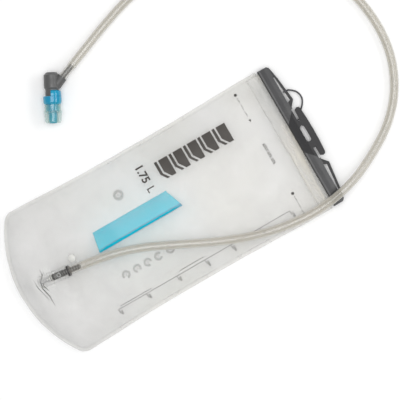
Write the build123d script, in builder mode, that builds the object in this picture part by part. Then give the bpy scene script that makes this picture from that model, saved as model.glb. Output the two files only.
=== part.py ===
"""Hydration reservoir: a welded film bag with a slide-seal mouth, and a hose with a twist bite valve.

Frame: the bag lies flat on Z = 0. +Y runs from the bag's bottom to its mouth, +X across it, +Z up.
The origin is under the middle of the bag and its closure. Millimetres.
"""

from build123d import *
from math import acos, cos, degrees, radians, sin, tan
import os

os.makedirs("parts", exist_ok=True)

# ---------------------------------------------------------------- driving dimensions
# Bag
bag_half_width = 86.0
bag_bottom_y = -186.5
bottom_radius = 144.0
corner_radius = 14.0
mouth_y = 158.0
strip_y = 162.5
dome_z = 27.0
weld_thickness = 0.8
weld_width = 5.0
rim_width = 4.0
film = 0.6
foot_y = bag_bottom_y + rim_width
flank_inset = 22.0
flank_z = 23.2
shoulder_inset = 6.5
shoulder_z = 17.3
tray_inset = 14.0
tray_turn_inset = 4.0
tray_turn_z = 2.0
through = 200.0

# Slide closure
slider_half = 85.0
wing_half = 82.0
wing_root_y = 168.0
lip_y = 160.3
body_y = 174.0
slider_thickness = 12.5
seam_z = slider_thickness / 2
upper_z = seam_z + weld_thickness / 2
lower_z = seam_z - weld_thickness / 2
cavity_y = 165.6
cavity_radius = 3.3
lip_gap = 4.7
plate_thickness = 4.5
hanger_y = 183.0
hanger_slot_y = 173.0
hanger_slot_length = 19.4
hanger_slot_width = 5.6
leash_hole_radius = 0.95
facet_half_lip = 16.5
facet_half = 31.0
facet_foot_y = 170.0

# Folded mouth held in the closure
fold_half = 82.0
fold_film = 0.8
bulb_radius = 2.9
rib_radius = 1.0
rib_lift = 1.02
rib_half = 79.0
flap_y = 144.5

# Exit port, on an axis that climbs with the film
port_turn = 7.2
port_rise = 9.0
port_mouth = Vector(0.35, -129.0, 24.3)
port_flat_z = 13.0
flange_back = 28.0
flange_radius = 15.0
flange_thickness = 1.4
throat_radius = 3.2
spout_radius = 7.0
spout_bore = 3.7
spout_depth = 34.0
button_back = 9.0
button_radius = 3.0
button_wall = 1.6
button_sleeve = 9.4
button_seat = 4.9
button_low = 7.0
button_height = 3.9

# Hose and its two fittings
hose_radius = 4.75
hose_bore = 3.2
hose_lead = 40.0
hose_tail = 38.0
plug_radius = 3.5
plug_flange = 3.0
plug_flange_radius = 5.9
ring_stand = 0.12
barb_radius = 3.15
barb_root = 2.5
barb_pitch = 4.0
plug_barbs = 3
barb_lead = 0.6
water_way = 2.0

# Bite valve, lying on its side
valve_centre = Vector(-192.6, -38.7, 10.25)
valve_turn = 117.5
stem_turn = 41.5
stem_start = 13.2
stem_length = 18.5
stem_barbs = 4
barrel_end = 26.0
barrel_bore = 5.6
elbow_cut = 12.4
collar_radius = 10.2

# Tether
cord_radius = 0.9
knot_radius = 1.8


# ---------------------------------------------------------------- frames
def heading(turn, rise=0.0):
    """Unit vector turned clockwise from +Y, seen from above, and raised, both in degrees."""
    flat = cos(radians(rise))
    return Vector(sin(radians(turn)) * flat, cos(radians(turn)) * flat, sin(radians(rise)))


def along_plane(origin, along, side):
    """A plane whose X runs along an axis and whose Y points to one side of it."""
    return Plane(origin=origin, x_dir=along, z_dir=along.cross(side))


port_dir = heading(port_turn, port_rise)
port_up = heading(port_turn, port_rise + 90.0)
port_plane = along_plane(port_mouth, port_dir, port_up)
port_axis = Axis(port_mouth, port_dir)
flange_centre = port_mouth - port_dir * flange_back
button_base = port_mouth - port_dir * button_back

valve_dir = heading(valve_turn)
valve_side = heading(valve_turn - 90.0)
valve_plane = along_plane(valve_centre, valve_dir, valve_side)
valve_axis = Axis(valve_centre, valve_dir)

stem_dir = heading(valve_turn + 180.0 + stem_turn)
stem_origin = valve_centre + valve_dir * stem_start
stem_plane = along_plane(stem_origin, stem_dir, Vector(0, 0, 1))
stem_axis = Axis(stem_origin, stem_dir)


# The corner arcs touch the bottom curve, so their centres lie on a circle about its centre
corner_reach = bottom_radius - corner_radius
corner_turn = degrees(acos((bag_half_width - corner_radius) / corner_reach))
corner_drop = corner_reach * sin(radians(corner_turn))
corner_centre = Vector(bag_half_width - corner_radius, bag_bottom_y + bottom_radius - corner_drop)


# ---------------------------------------------------------------- outlines
def outline(plane, *points):
    """A closed straight-sided outline on a plane."""
    with BuildSketch(plane) as shape:
        with BuildLine():
            Polyline(*points, close=True)
        make_face()
    return shape.sketch


def section(*points):
    """A closed outline in the YZ plane, to be extruded along X."""
    return outline(Plane.YZ, *points)


def bag_plan(inset, z, top_y):
    """The bag's plan, inset from its rim, at a height: its corners run smoothly into the bottom curve."""
    side_x = bag_half_width - inset
    radius = corner_radius - inset
    with BuildSketch(Plane.XY.offset(z)) as plan:
        with BuildLine():
            Line((0, top_y), (side_x, top_y))
            Line((side_x, top_y), (side_x, corner_centre.Y))
            bend = CenterArc(corner_centre, radius, 0, -corner_turn)
            ThreePointArc(bend @ 1, (0, bag_bottom_y + inset), ((bend @ 1).X * -1, (bend @ 1).Y))
            CenterArc((-corner_centre.X, corner_centre.Y), radius, 180, corner_turn)
            Line((-side_x, corner_centre.Y), (-side_x, top_y))
            Line((-side_x, top_y), (0, top_y))
        make_face()
    return plan.sketch


def crown(shift):
    """The upper film's section across the bag, moved down by a shift."""
    side_x = bag_half_width - rim_width
    flank_x = side_x - flank_inset
    shoulder_x = side_x - shoulder_inset
    high = flank_z - shift
    low = shoulder_z - shift
    with BuildSketch(Plane.XZ) as shape:
        with BuildLine():
            top = ThreePointArc((-flank_x, high), (0, dome_z - shift), (flank_x, high))
            ThreePointArc(top @ 1, (shoulder_x, low), (side_x, upper_z))
            Polyline((side_x, upper_z), (side_x, 0), (-side_x, 0), (-side_x, upper_z))
            ThreePointArc((-side_x, upper_z), (-shoulder_x, low), top @ 0)
        make_face()
    return shape.sketch


def ridge(shift):
    """The upper film's section along the bag, moved down by a shift."""
    profile = [
        (foot_y, upper_z),
        (foot_y + 2.5, 10.5),
        (foot_y + 8.0, port_flat_z),
        (-138.0, port_flat_z),
        (-60.0, 26.0),
        (0.0, dome_z),
        (60.0, 26.0),
        (148.0, 10.6),
        (mouth_y, 7.0),
        (strip_y, 7.0),
    ]
    return section((foot_y, 0), *[(y, z - shift) for y, z in profile], (strip_y, 0))


def keel(shift):
    """The lower film's section along the bag, moved up by a shift."""
    profile = [
        (foot_y, lower_z),
        (foot_y + 3.0, 2.5),
        (foot_y + 11.0, 0.0),
        (138.0, 0.0),
        (mouth_y, 5.4),
        (strip_y, 5.4),
    ]
    return section((foot_y, dome_z), *[(y, z + shift) for y, z in profile], (strip_y, dome_z))


def tray(shift):
    """The lower film's section across the bag, moved up by a shift."""
    side_x = bag_half_width - rim_width
    flat_x = side_x - tray_inset
    turn_x = side_x - tray_turn_inset
    turn_z = tray_turn_z + shift
    with BuildSketch(Plane.XZ) as shape:
        with BuildLine():
            ThreePointArc((side_x, lower_z), (turn_x, turn_z), (flat_x, shift))
            Line((flat_x, shift), (-flat_x, shift))
            ThreePointArc((-flat_x, shift), (-turn_x, turn_z), (-side_x, lower_z))
            Polyline((-side_x, lower_z), (-side_x, dome_z), (side_x, dome_z), (side_x, lower_z))
        make_face()
    return shape.sketch


# ---------------------------------------------------------------- bag
def upper_form(shift):
    """The solid under the upper film's outer face, or under its inner face when shifted by the film."""
    with BuildPart() as form:
        extrude(bag_plan(rim_width + shift, upper_z, strip_y), amount=dome_z)
        extrude(crown(shift), amount=through, both=True, mode=Mode.INTERSECT)
        extrude(ridge(shift), amount=bag_half_width, both=True, mode=Mode.INTERSECT)
    return form.part


def lower_form(shift):
    """The solid above the lower film's outer face, or above its inner face when shifted by the film."""
    with BuildPart() as form:
        extrude(bag_plan(rim_width + shift, 0, strip_y), amount=lower_z)
        extrude(tray(shift), amount=through, both=True, mode=Mode.INTERSECT)
        extrude(keel(shift), amount=bag_half_width, both=True, mode=Mode.INTERSECT)
    return form.part


with BuildPart() as front_panel:
    add(upper_form(0))
    add(upper_form(film), mode=Mode.SUBTRACT)
    with Locations((flange_centre.X, flange_centre.Y, port_flat_z)):
        Cylinder(throat_radius + 1.3, 6 * film, mode=Mode.SUBTRACT)

with BuildPart() as rear_panel:
    add(lower_form(0))
    add(lower_form(film), mode=Mode.SUBTRACT)

with BuildPart() as perimeter_weld:
    extrude(bag_plan(0, lower_z, mouth_y), amount=weld_thickness)
    extrude(bag_plan(weld_width, lower_z, strip_y + weld_width), amount=weld_thickness, mode=Mode.SUBTRACT)

# The folded mouth: one strip of film wrapped round two ribs, its free edge lying back on the bag.
leg_play = 0.3
leg_low = seam_z - lip_gap / 2 + leg_play
leg_high = seam_z + lip_gap / 2 - leg_play
leg_end_y = cavity_y - 1.9
flap_low = 11.8
flap_high = 12.6
with BuildPart() as top_fold:
    with BuildSketch(Plane.YZ) as fold_outline:
        with Locations((cavity_y, seam_z)):
            Circle(bulb_radius)
        with Locations((cavity_y, seam_z)):
            Circle(bulb_radius - fold_film, mode=Mode.SUBTRACT)
        with Locations((cavity_y - 2.2, seam_z)):
            Rectangle(2.4, leg_high - leg_low - 2 * fold_film, mode=Mode.SUBTRACT)
        with BuildLine():
            Polyline(
                (leg_end_y, leg_high - fold_film),
                (mouth_y + 0.2, leg_high - fold_film),
                (148.2, 11.1),
                (flap_y, flap_low),
                (flap_y, flap_high),
                (148.4, 11.9),
                (mouth_y + 0.4, leg_high),
                (leg_end_y, leg_high),
                close=True,
            )
        make_face()
        with BuildLine():
            Polyline(
                (leg_end_y, leg_low),
                (mouth_y, leg_low),
                (mouth_y, leg_low + fold_film),
                (leg_end_y, leg_low + fold_film),
                close=True,
            )
        make_face()
    extrude(amount=fold_half, both=True)


def rib(side):
    """A round rib inside the fold, above or below its middle."""
    with BuildSketch(Plane.YZ) as round_rib:
        with Locations((cavity_y, seam_z + side * rib_lift)):
            Circle(rib_radius)
    return round_rib.sketch


with BuildPart() as mouth_rib_front:
    extrude(rib(1), amount=rib_half, both=True)

with BuildPart() as mouth_rib_rear:
    extrude(rib(-1), amount=rib_half, both=True)

# The baffle: a slanted web of film with a welded flange on each panel.
web_front_x = -0.5
web_rear_x = -20.0
web_half = 0.3
baffle_ends = (-87.0, 12.0)
baffle_length = baffle_ends[1] - baffle_ends[0]
baffle_middle = sum(baffle_ends) / 2
flange_strip = 6.0
strip_shift = 1.5
weld_gap = 0.05


def bag_room(shift):
    """The room between the two films, kept clear of them by a shift."""
    with BuildPart() as room:
        add(upper_form(film + shift))
        extrude(bag_plan(rim_width + film + shift, lower_z, mouth_y), amount=weld_thickness)
        add(lower_form(film + shift))
    return room.part


with BuildPart() as flange_zones:
    with Locations((web_front_x + flange_strip / 2 - strip_shift, baffle_middle, dome_z)):
        Box(flange_strip, baffle_length, dome_z)
    with Locations((web_rear_x - flange_strip / 2 + strip_shift, baffle_middle, 0)):
        Box(flange_strip, baffle_length, 4)

with BuildPart() as baffle_web:
    with BuildSketch(Plane.XZ.offset(-baffle_ends[1])):
        with BuildLine():
            Polyline(
                (web_rear_x - web_half, 0),
                (web_rear_x + web_half, 0),
                (web_front_x + web_half, dome_z),
                (web_front_x - web_half, dome_z),
                close=True,
            )
        make_face()
    extrude(amount=baffle_length)
    add(bag_room(weld_gap), mode=Mode.INTERSECT)

with BuildPart() as baffle:
    add(bag_room(weld_gap))
    add(bag_room(weld_gap + film), mode=Mode.SUBTRACT)
    add(flange_zones.part, mode=Mode.INTERSECT)
    add(baffle_web.part)

# ---------------------------------------------------------------- slide closure
nose_y = lip_y + 0.7
shoulder_y = lip_y + 2.7
edge_z = 3.75
crown_y = lip_y + 7.7
crown_z = 1.5
plate_low = seam_z - plate_thickness / 2
plate_high = seam_z + plate_thickness / 2
bar_section = [
    (lip_y, 0.6),
    (nose_y, 0),
    (shoulder_y, 0),
    (crown_y, crown_z),
    (body_y, edge_z),
    (body_y, slider_thickness - edge_z),
    (crown_y, slider_thickness - crown_z),
    (shoulder_y, slider_thickness),
    (nose_y, slider_thickness),
    (lip_y, slider_thickness - 0.6),
]
half_plan = [
    (0, wing_root_y),
    (wing_half, wing_root_y),
    (wing_half, body_y),
    (68.0, 176.6),
    (39.6, 180.0),
    (30.7, 172.4),
    (18.0, 172.4),
    (18.0, 175.3),
    (28.5, 175.3),
    (30.1, 178.3),
    (29.4, 180.9),
    (27.2, 181.9),
    (14.0, 182.7),
    (0, hanger_y),
]
notch = [(18.0, 172.4), (31.0, 172.4), (31.0, 175.3), (18.0, 175.3)]
wing_slot = [(38.8, 172.8), (41.0, 176.7), (71.0, 174.0), (71.0, 172.8)]
facet_plan = [
    (-facet_half_lip, lip_y),
    (facet_half_lip, lip_y),
    (facet_half, body_y),
    (facet_half, hanger_y + 1),
    (-facet_half, hanger_y + 1),
    (-facet_half, body_y),
]
facet_section = [
    (lip_y + 1.2, slider_thickness + 0.1),
    (facet_foot_y, plate_high),
    (hanger_y + 1, plate_high),
    (hanger_y + 1, slider_thickness + 0.1),
]

with BuildPart() as middle_facet:
    extrude(section(*facet_section), amount=facet_half, both=True)
    extrude(outline(Plane.XY, *facet_plan), amount=slider_thickness + 1, mode=Mode.INTERSECT)

with BuildPart() as slide_closure:
    # Tapered channel bar, then the wings and the hanger
    extrude(section(*bar_section), amount=slider_half, both=True)
    with BuildSketch(Plane.XY.offset(plate_low)):
        with BuildLine():
            Polyline(*half_plan, close=True)
        make_face()
        mirror(about=Plane.YZ)
    extrude(amount=plate_thickness)
    # Bevelled ends of the bar
    with BuildSketch(Plane.XY):
        for side in (-1, 1):
            with Locations((side * (slider_half + 1), body_y)):
                Rectangle(9, 5, rotation=side * -48)
    extrude(amount=slider_thickness, mode=Mode.SUBTRACT)
    # Channel for the folded mouth, closed at its +X end
    with BuildSketch(Plane.YZ.offset(-slider_half)):
        with Locations((cavity_y, seam_z)):
            Circle(cavity_radius)
        with Locations(((lip_y + cavity_y) / 2 - 1, seam_z)):
            Rectangle(cavity_y - lip_y + 2, lip_gap)
    extrude(amount=slider_half + fold_half + 1, mode=Mode.SUBTRACT)
    # Open spaces between the bar, the wings and the hanger
    with BuildSketch(Plane.XY):
        for corners in (notch, wing_slot):
            with BuildLine():
                Polyline(*corners, close=True)
            make_face()
        mirror(about=Plane.YZ)
        with Locations((0, hanger_slot_y)):
            SlotOverall(hanger_slot_length, hanger_slot_width)
        with Locations((-15.9, 174.2)):
            Circle(leash_hole_radius)
    extrude(amount=slider_thickness, mode=Mode.SUBTRACT)
    add(middle_facet.part, mode=Mode.SUBTRACT)

# ---------------------------------------------------------------- exit port and its shut-off valve
def ring(plane, inner, outer, start, end):
    """The half section of a plain ring or tube about a plane's X axis."""
    return outline(plane, (start, inner), (end, inner), (end, outer), (start, outer))


with BuildPart() as exit_port:
    revolve(
        outline(
            port_plane,
            (-spout_depth - 1.2, 0),
            (-spout_depth - 1.2, 4.4),
            (-spout_depth + 2.0, spout_radius),
            (-3.2, spout_radius),
            (-2.4, spout_radius + 0.7),
            (0, spout_radius + 0.7),
            (0, 0),
        ),
        axis=port_axis,
    )
    with BuildSketch(Plane.XY.offset(port_flat_z)):
        with Locations((flange_centre.X, flange_centre.Y)):
            Circle(flange_radius)
    extrude(amount=flange_thickness)
    with BuildSketch(Plane(origin=button_base, x_dir=port_dir, z_dir=port_up)):
        Circle(button_radius + button_wall)
    extrude(amount=button_sleeve)
    with Locations(Plane.XY.offset(port_flat_z / 2)):
        Box(2 * through, 2 * through, port_flat_z, mode=Mode.SUBTRACT)
    revolve(ring(port_plane, 0, spout_bore, -spout_depth, 1), axis=port_axis, mode=Mode.SUBTRACT)
    with BuildSketch(Plane.XY.offset(port_flat_z - 1)):
        with Locations((flange_centre.X, flange_centre.Y)):
            Circle(throat_radius)
    extrude(amount=7.5, mode=Mode.SUBTRACT)
    with BuildSketch(Plane(origin=button_base + port_up * button_seat, x_dir=port_dir, z_dir=port_up)):
        Circle(button_radius + 0.2)
    extrude(amount=6, mode=Mode.SUBTRACT)

with BuildPart() as shutoff_plunger:
    revolve(
        outline(
            port_plane,
            (-25.0, 0),
            (-25.0, 1.0),
            (-20.4, 1.0),
            (-20.4, plug_radius),
            (-19.9, plug_radius),
            (-19.9, plug_radius - 0.7),
            (-19.1, plug_radius - 0.7),
            (-19.1, plug_radius),
            (-18.3, plug_radius),
            (-18.3, 0),
        ),
        axis=port_axis,
    )

with BuildPart() as plunger_seal:
    revolve(ring(port_plane, plug_radius - 0.7, plug_radius + ring_stand, -19.85, -19.15), axis=port_axis)

with BuildPart() as plunger_spring:
    with BuildLine() as plunger_coil:
        Helix(pitch=2.2, height=12.6, radius=2.2, center=port_mouth - port_dir * 33.4, direction=port_dir)
    with BuildSketch(Plane(origin=plunger_coil.line @ 0, z_dir=plunger_coil.line % 0)):
        Circle(0.3)
    sweep(is_frenet=True)

with BuildPart() as release_button:
    with BuildSketch(Plane(origin=button_base + port_up * button_low, x_dir=port_dir, z_dir=port_up)):
        Circle(button_radius)
    extrude(amount=button_height)
    chamfer(release_button.edges().sort_by(Axis(button_base, port_up))[-1], length=0.5)

with BuildPart() as button_spring:
    with BuildLine() as button_coil:
        Helix(pitch=0.75, height=1.5, radius=2.0, center=button_base + port_up * 5.2, direction=port_up)
    with BuildSketch(Plane(origin=button_coil.line @ 0, z_dir=button_coil.line % 0)):
        Circle(0.2)
    sweep(is_frenet=True)


# ---------------------------------------------------------------- quick connector
def barbs(start, count):
    """Half section points of a row of hose barbs that slope down towards the hose."""
    points = []
    for tooth in range(count):
        foot = start + tooth * barb_pitch
        points += [(foot, barb_root), (foot + 0.8, barb_root), (foot + 0.8, barb_radius)]
    return points + [(start + count * barb_pitch, barb_root)]


groove = plug_radius - 1.0
groove_starts = (-13.0, -7.0)
groove_width = 1.6
plug_profile = [(-18.0, water_way), (-18.0, plug_radius - 0.6), (-17.2, plug_radius)]
for start in groove_starts:
    end = start + groove_width
    plug_profile += [(start, plug_radius), (start, groove), (end, groove), (end, plug_radius)]
plug_profile += [
    (0.3, plug_radius),
    (0.3, plug_flange_radius),
    (plug_flange, plug_flange_radius),
    (plug_flange, barb_root),
]
plug_profile += barbs(plug_flange + barb_lead, plug_barbs)
plug_profile += [(plug_flange + barb_lead + plug_barbs * barb_pitch, water_way)]

with BuildPart() as hose_plug:
    revolve(outline(port_plane, *plug_profile), axis=port_axis)

with BuildPart() as plug_o_rings:
    for start in groove_starts:
        end = start + groove_width
        revolve(ring(port_plane, groove, plug_radius + ring_stand, start + 0.1, end - 0.1), axis=port_axis)

# ---------------------------------------------------------------- hose
hose_start = port_mouth + port_dir * plug_flange
hose_end = stem_origin + stem_dir * stem_length
hose_route = [
    hose_start,
    hose_start + port_dir * hose_lead,
    (17.0, -47.0, 32.4),
    (37.0, -7.0, 32.4),
    (56.5, 33.0, 32.2),
    (72.0, 73.0, 31.4),
    (80.3, 113.0, 29.6),
    (82.0, 150.0, 27.6),
    (73.5, 190.0, 27.4),
    (58.5, 222.0, 15.0),
    (39.0, 254.5, 6.4),
    (9.0, 283.0, 4.8),
    (-33.0, 300.5, 4.8),
    (-80.0, 302.0, 4.8),
    (-126.0, 291.0, 4.8),
    (-166.0, 269.0, 4.8),
    (-197.5, 239.0, 4.8),
    (-219.0, 203.0, 4.8),
    (-230.5, 163.0, 4.8),
    (-233.0, 120.0, 4.8),
    (-227.0, 78.0, 4.9),
    (-213.5, 38.0, 7.6),
    hose_end + stem_dir * hose_tail,
    hose_end,
]


def corner_radii(route, share=0.45):
    """The largest radius at each corner that leaves straight runs between the arcs."""
    points = [Vector(point) for point in route]
    radii = []
    for before, here, after in zip(points, points[1:], points[2:]):
        turn = radians((here - before).get_angle(after - here))
        run = min((here - before).length, (after - here).length)
        radii.append(share * run / tan(turn / 2))
    return radii


with BuildPart() as hose:
    with BuildLine() as hose_path:
        FilletPolyline(*hose_route, radius=corner_radii(hose_route))
    with BuildSketch(Plane(origin=hose_path.line @ 0, z_dir=hose_path.line % 0)) as hose_section:
        Circle(hose_radius)
        Circle(hose_bore, mode=Mode.SUBTRACT)
    sweep()

# ---------------------------------------------------------------- elbow and bite valve
with BuildPart() as valve_elbow:
    revolve(
        outline(
            stem_plane,
            (0, 0),
            (0, 6.4),
            (stem_length, 5.4),
            (stem_length, barb_root),
            *barbs(stem_length + barb_lead, stem_barbs),
            (stem_length + barb_lead + stem_barbs * barb_pitch, 0),
        ),
        axis=stem_axis,
    )
    split(bisect_by=Plane(origin=valve_centre + valve_dir * elbow_cut, z_dir=valve_dir * -1), keep=Keep.TOP)
    revolve(
        outline(
            valve_plane,
            (-6.2, 0),
            (-6.2, barrel_bore),
            (-3.2, 8.6),
            (10.8, 8.6),
            (elbow_cut, 7.4),
            (barrel_end, 7.4),
            (barrel_end, 0),
        ),
        axis=valve_axis,
    )
    revolve(ring(valve_plane, 0, barrel_bore, 11.5, barrel_end + 1), axis=valve_axis, mode=Mode.SUBTRACT)
    revolve(ring(stem_plane, 0, water_way, 0, 2 * stem_length + 6), axis=stem_axis, mode=Mode.SUBTRACT)

with BuildPart() as valve_core:
    revolve(
        outline(
            valve_plane,
            (14.5, water_way),
            (14.5, 5.2),
            (18.0, 5.2),
            (18.0, 4.3),
            (19.6, 4.3),
            (19.6, 5.2),
            (26.4, 5.2),
            (26.4, 8.0),
            (36.8, 8.0),
            (36.8, 5.1),
            (49.0, 4.6),
            (50.0, 3.6),
            (50.0, water_way),
        ),
        axis=valve_axis,
    )

with BuildPart() as valve_o_ring:
    revolve(ring(valve_plane, 4.3, 5.5, 18.1, 19.5), axis=valve_axis)

# The twist collar: a ring with a finger lobe on one side
with BuildPart() as valve_collar:
    revolve(
        outline(
            valve_plane,
            (13.6, 7.7),
            (14.6, 9.6),
            (17.0, collar_radius - 0.1),
            (20.2, collar_radius - 0.1),
            (20.2, 7.7),
        ),
        axis=valve_axis,
    )
    split(bisect_by=Plane(origin=valve_centre + valve_side * -1.0, z_dir=valve_side), keep=Keep.TOP)
    revolve(
        outline(
            valve_plane,
            (20.2, 7.7),
            (20.2, collar_radius - 0.5),
            (20.7, collar_radius),
            (27.0, collar_radius),
            (29.0, 9.0),
            (29.0, 8.05),
            (26.3, 8.05),
            (26.3, 7.7),
        ),
        axis=valve_axis,
    )

with BuildPart() as bite_sheath:
    revolve(
        outline(
            valve_plane,
            (29.3, 8.15),
            (29.3, 8.9),
            (36.0, 9.1),
            (36.5, 10.0),
            (38.2, 10.0),
            (38.9, 9.7),
            (47.6, 9.0),
            (49.6, 7.6),
            (49.6, 5.6),
            (38.4, 6.5),
            (37.3, 8.15),
        ),
        axis=valve_axis,
    )

# ---------------------------------------------------------------- tether
bar_centre = Vector(-51.5, 177.16, seam_z)
bar_dir = heading(-83.0)
tether_route = [
    (-51.5, 180.2, 4.6),
    (-48.6, 185.0, 2.0),
    (-43.0, 189.2, 1.1),
    (-36.0, 189.8, 1.1),
    (-30.2, 186.8, 1.1),
    (-26.2, 182.8, 1.1),
    (-23.0, 179.4, 1.4),
]
knot_centre = Vector(-21.6, 178.0, 1.9)

with BuildPart() as tether_hitch:
    with BuildSketch(Plane(origin=bar_centre - bar_dir * cord_radius, x_dir=Vector(0, 0, 1), z_dir=bar_dir)):
        RectangleRounded(6.8, 5.2, 2.0)
        Rectangle(5.0, 3.4, mode=Mode.SUBTRACT)
    extrude(amount=2 * cord_radius)

with BuildPart() as tether_cord:
    with BuildLine() as tether_path:
        FilletPolyline(*tether_route, radius=corner_radii(tether_route))
    with BuildSketch(Plane(origin=tether_path.line @ 0, z_dir=tether_path.line % 0)) as tether_section:
        Circle(cord_radius)
    sweep()

with BuildPart() as tether_knot:
    with Locations(knot_centre):
        Sphere(knot_radius)

# ---------------------------------------------------------------- export
pieces = {
    "front_panel": front_panel,
    "rear_panel": rear_panel,
    "perimeter_weld": perimeter_weld,
    "top_fold": top_fold,
    "mouth_rib_front": mouth_rib_front,
    "mouth_rib_rear": mouth_rib_rear,
    "baffle": baffle,
    "exit_port": exit_port,
    "shutoff_plunger": shutoff_plunger,
    "plunger_seal": plunger_seal,
    "plunger_spring": plunger_spring,
    "release_button": release_button,
    "button_spring": button_spring,
    "slide_closure": slide_closure,
    "tether_hitch": tether_hitch,
    "tether_cord": tether_cord,
    "tether_knot": tether_knot,
    "hose_plug": hose_plug,
    "plug_o_rings": plug_o_rings,
    "hose": hose,
    "valve_elbow": valve_elbow,
    "valve_core": valve_core,
    "valve_o_ring": valve_o_ring,
    "valve_collar": valve_collar,
    "bite_sheath": bite_sheath,
}
for label, piece in pieces.items():
    piece.part.label = label
    export_step(piece.part, f"parts/{label}.step")

for label, path, outline_face, route in (
    ("hose", hose_path, hose_section, hose_route),
    ("tether_cord", tether_path, tether_section, tether_route),
):
    path_length = path.wire().length
    swept = outline_face.sketch.area * path_length
    print(label, "length", round(path_length, 1), "radii", [round(r) for r in corner_radii(route)])
    print(label, "volume", round(pieces[label].part.volume), "section times length", round(swept))
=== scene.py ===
"""Hydration reservoir: the visual model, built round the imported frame, in the frame of the CAD."""
from math import acos, cos, degrees, exp, pi, radians, sin, sqrt

import bmesh
import bpy
import numpy as np
from mathutils import Matrix, Vector, noise


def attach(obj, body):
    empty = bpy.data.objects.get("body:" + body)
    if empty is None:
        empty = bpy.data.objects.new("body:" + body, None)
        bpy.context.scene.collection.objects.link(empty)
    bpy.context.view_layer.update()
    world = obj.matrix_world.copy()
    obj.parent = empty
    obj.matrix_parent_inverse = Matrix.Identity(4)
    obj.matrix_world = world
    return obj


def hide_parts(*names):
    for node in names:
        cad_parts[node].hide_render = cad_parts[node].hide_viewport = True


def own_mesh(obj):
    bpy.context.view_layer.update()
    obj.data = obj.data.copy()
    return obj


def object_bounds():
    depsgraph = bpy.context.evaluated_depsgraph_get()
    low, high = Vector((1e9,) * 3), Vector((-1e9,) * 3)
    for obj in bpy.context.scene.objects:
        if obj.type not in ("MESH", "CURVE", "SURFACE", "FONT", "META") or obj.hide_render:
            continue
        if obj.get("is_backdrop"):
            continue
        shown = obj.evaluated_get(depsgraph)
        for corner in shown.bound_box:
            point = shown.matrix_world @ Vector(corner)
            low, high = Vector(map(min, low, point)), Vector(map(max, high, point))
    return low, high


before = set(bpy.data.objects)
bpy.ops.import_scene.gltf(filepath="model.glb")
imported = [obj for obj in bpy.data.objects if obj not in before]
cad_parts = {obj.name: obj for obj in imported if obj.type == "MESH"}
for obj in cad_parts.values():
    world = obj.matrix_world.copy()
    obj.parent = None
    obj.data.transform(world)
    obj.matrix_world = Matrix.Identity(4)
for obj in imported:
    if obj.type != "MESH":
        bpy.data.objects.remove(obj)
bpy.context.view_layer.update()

MM = 0.001


def heading(turn, rise=0.0):
    """Unit vector turned clockwise from +Y, seen from above, and raised, both in degrees."""
    flat = cos(radians(rise))
    return Vector((sin(radians(turn)) * flat, cos(radians(turn)) * flat, sin(radians(rise))))


# ---------------------------------------------------------------- driving places, as in the CAD
UP = Vector((0, 0, 1))
PORT_TURN = 7.2
PORT_RISE = 9.0
PORT_MOUTH = Vector((0.35, -129.0, 24.3)) * MM
PORT_DIR = heading(PORT_TURN, PORT_RISE)
PORT_UP = heading(PORT_TURN, PORT_RISE + 90.0)
BUTTON_BASE = PORT_MOUTH - PORT_DIR * 9.0 * MM
VALVE_TURN = 117.5
ELBOW_TURN = 41.5
VALVE_CENTRE = Vector((-192.6, -38.7, 10.25)) * MM
VALVE_DIR = heading(VALVE_TURN)
STEM_DIR = heading(VALVE_TURN + 180.0 + ELBOW_TURN)
STEM_ORIGIN = VALVE_CENTRE + VALVE_DIR * 13.2 * MM
HOSE_START = PORT_MOUTH + PORT_DIR * 3.0 * MM
HOSE_END = STEM_ORIGIN + STEM_DIR * 18.5 * MM
HOSE_LEAD = 40.0 * MM
HOSE_TAIL = 38.0 * MM
HOSE_RADIUS = 4.75 * MM
BORE_RADIUS = 3.2 * MM
CORD_RADIUS = 0.9 * MM
SEAM_Z = 6.25

FILM_THICKNESS = 0.4
BAFFLE_THICKNESS = 0.35
SEAM_THICKNESS = 0.05
INK_THICKNESS = 0.06

# ---------------------------------------------------------------- camera
VIEW_CENTRE = Vector((5.3, 35.7, 10.0)) * MM
VIEW_WIDTH = 0.440
VIEW_DISTANCE = 2.4
SENSOR = 36.0
PICTURE_TURN = 30.0


def make_camera():
    """A long lens straight above, turned so that the bag lies from lower left to upper right."""
    data = bpy.data.cameras.new("camera")
    data.sensor_width = SENSOR
    data.lens = SENSOR * VIEW_DISTANCE / VIEW_WIDTH
    camera = bpy.data.objects.new("camera", data)
    bpy.context.scene.collection.objects.link(camera)
    turn = Matrix((heading(PICTURE_TURN), heading(PICTURE_TURN - 90.0), UP)).transposed().to_4x4()
    camera.matrix_world = Matrix.Translation(VIEW_CENTRE + UP * VIEW_DISTANCE) @ turn
    bpy.context.scene.camera = camera


make_camera()


# ---------------------------------------------------------------- materials
def linear(*rgb):
    """A colour given as 0 to 255 display values."""
    return tuple((c / 255 / 12.92) if c < 10.3 else ((c / 255 + 0.055) / 1.055) ** 2.4 for c in rgb)


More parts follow.
